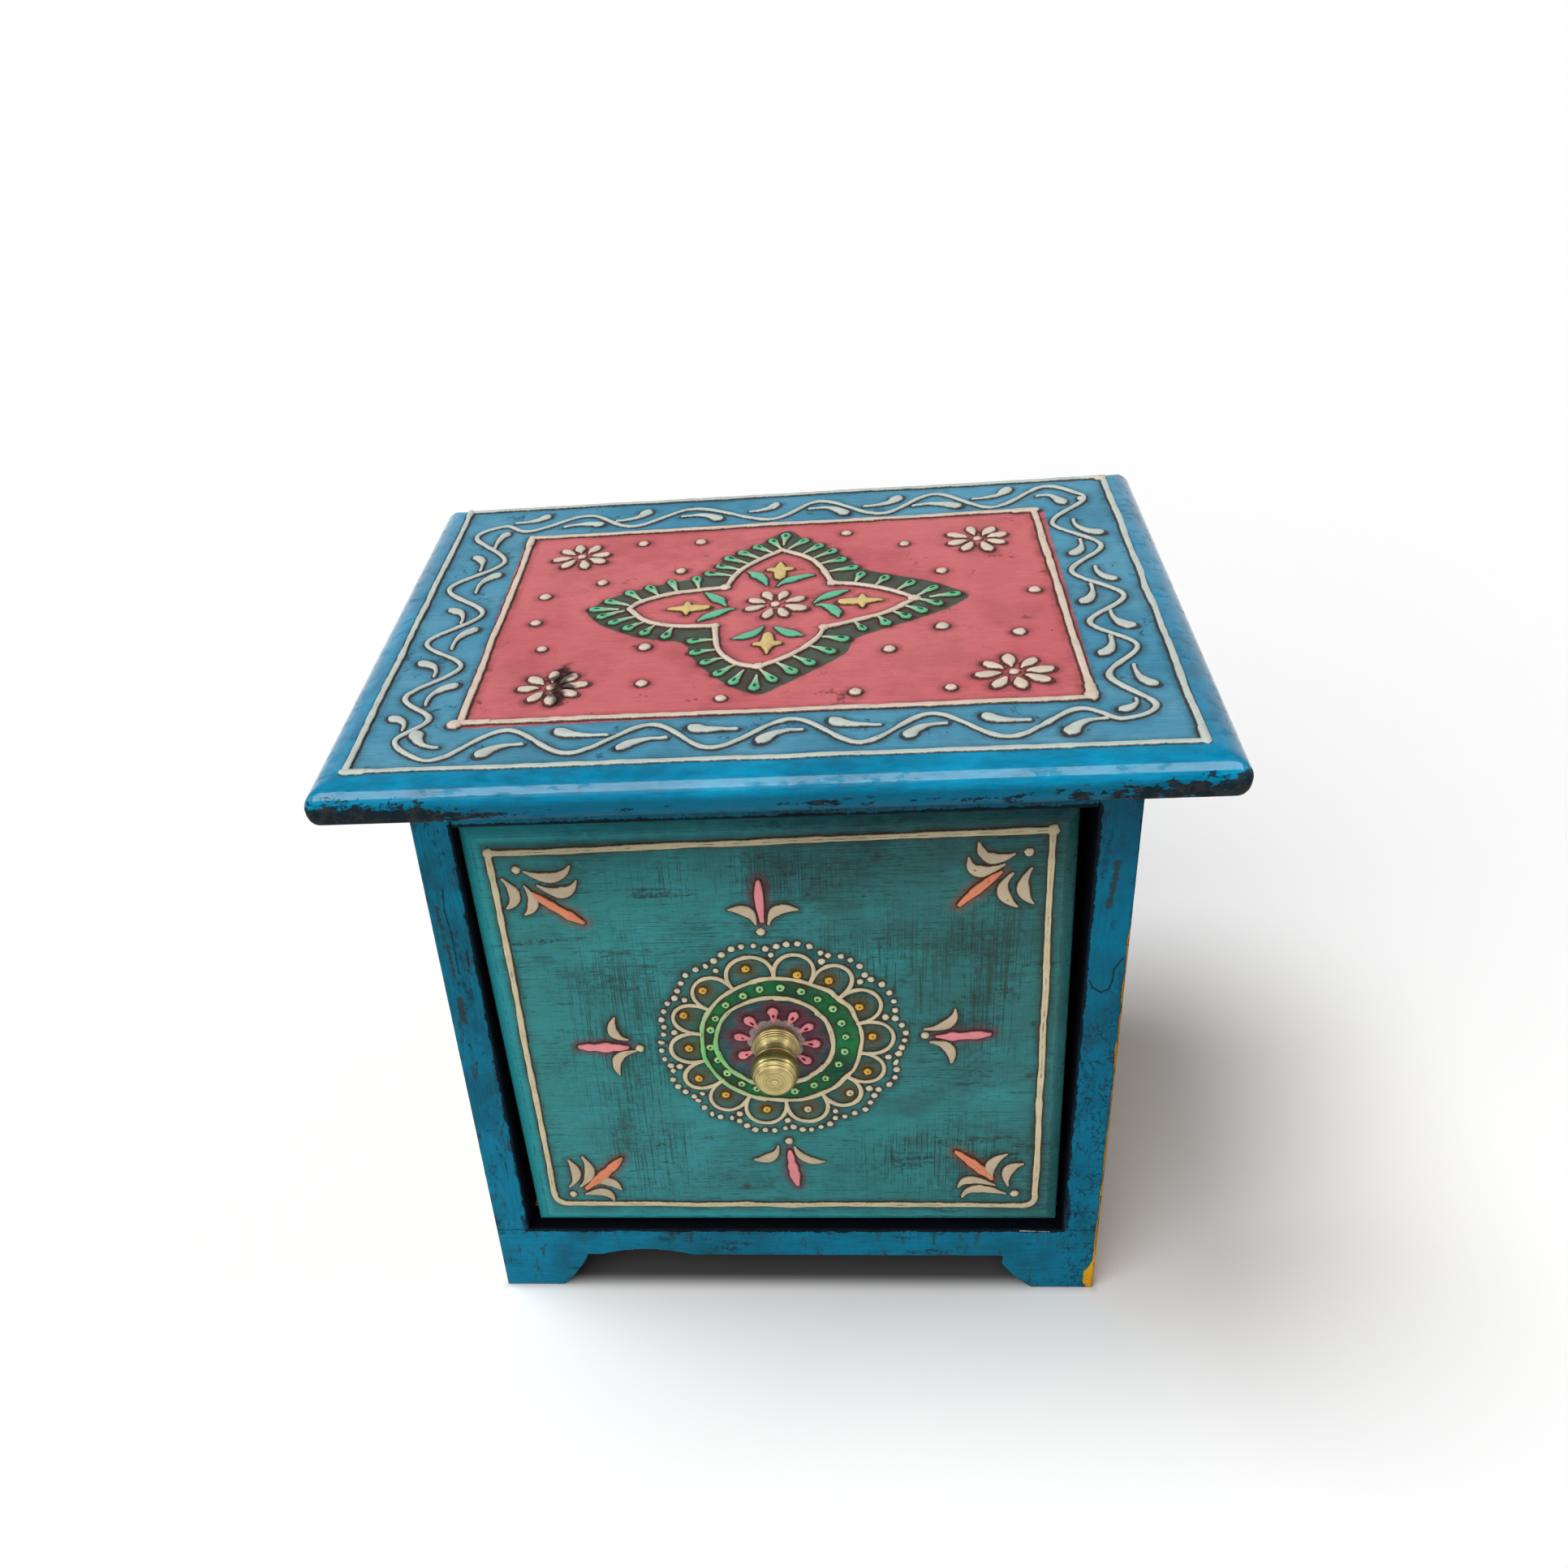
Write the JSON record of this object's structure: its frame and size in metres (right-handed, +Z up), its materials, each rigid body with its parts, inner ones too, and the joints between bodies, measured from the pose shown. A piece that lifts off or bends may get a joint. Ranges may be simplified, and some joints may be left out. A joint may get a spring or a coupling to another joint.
{
  "type": "mini chest of drawers",
  "caption": "Small hand-painted wooden chest with a drawer behind a bevelled front, a turned brass knob, bracket feet and a moulded overhanging top.",
  "frame": {"origin": "on the floor under the middle of the top board, which overhangs the case evenly", "axes": "+Z up, +X to the right of someone facing the drawer, +Y from the drawer front to the back"},
  "size_m": [0.202, 0.17, 0.178],
  "materials": {
    "painted_top": "varnished paint",
    "painted_sides": "worn paint",
    "painted_case": "worn paint",
    "painted_back": "worn paint",
    "painted_front": "varnished paint",
    "bare_wood": "unfinished",
    "turned_brass": "lathe rings, polished",
    "bright_steel": "plain",
    "clear_plastic": "clear, soft"
  },
  "bodies": {
    "case": {"top_board": "painted_top", "left_side_board": "painted_sides", "right_side_board": "painted_sides", "front_apron": "painted_case", "top_rail": "painted_case", "back_panel": "painted_back", "drawer_deck": "bare_wood", "top_board_brads": "bright_steel", "apron_brads": "bright_steel", "rail_brads": "bright_steel", "deck_brads": "bright_steel", "back_panel_brads": "bright_steel"},
    "drawer": {"drawer_front": "painted_front", "drawer_left_side": "bare_wood", "drawer_right_side": "bare_wood", "drawer_back": "bare_wood", "drawer_bottom": "bare_wood", "drawer_knob": "turned_brass", "knob_clear_washer": "clear_plastic", "knob_steel_washer": "bright_steel", "knob_screw": "bright_steel", "drawer_front_brads": "bright_steel", "drawer_back_brads": "bright_steel", "drawer_bottom_brads": "bright_steel"}
  },
  "joints": [
    {"name": "drawer_slide", "type": "slide", "parent": "case", "child": "drawer", "axis": [0, -1, 0], "range_m": [0, 0.1]}
  ]
}
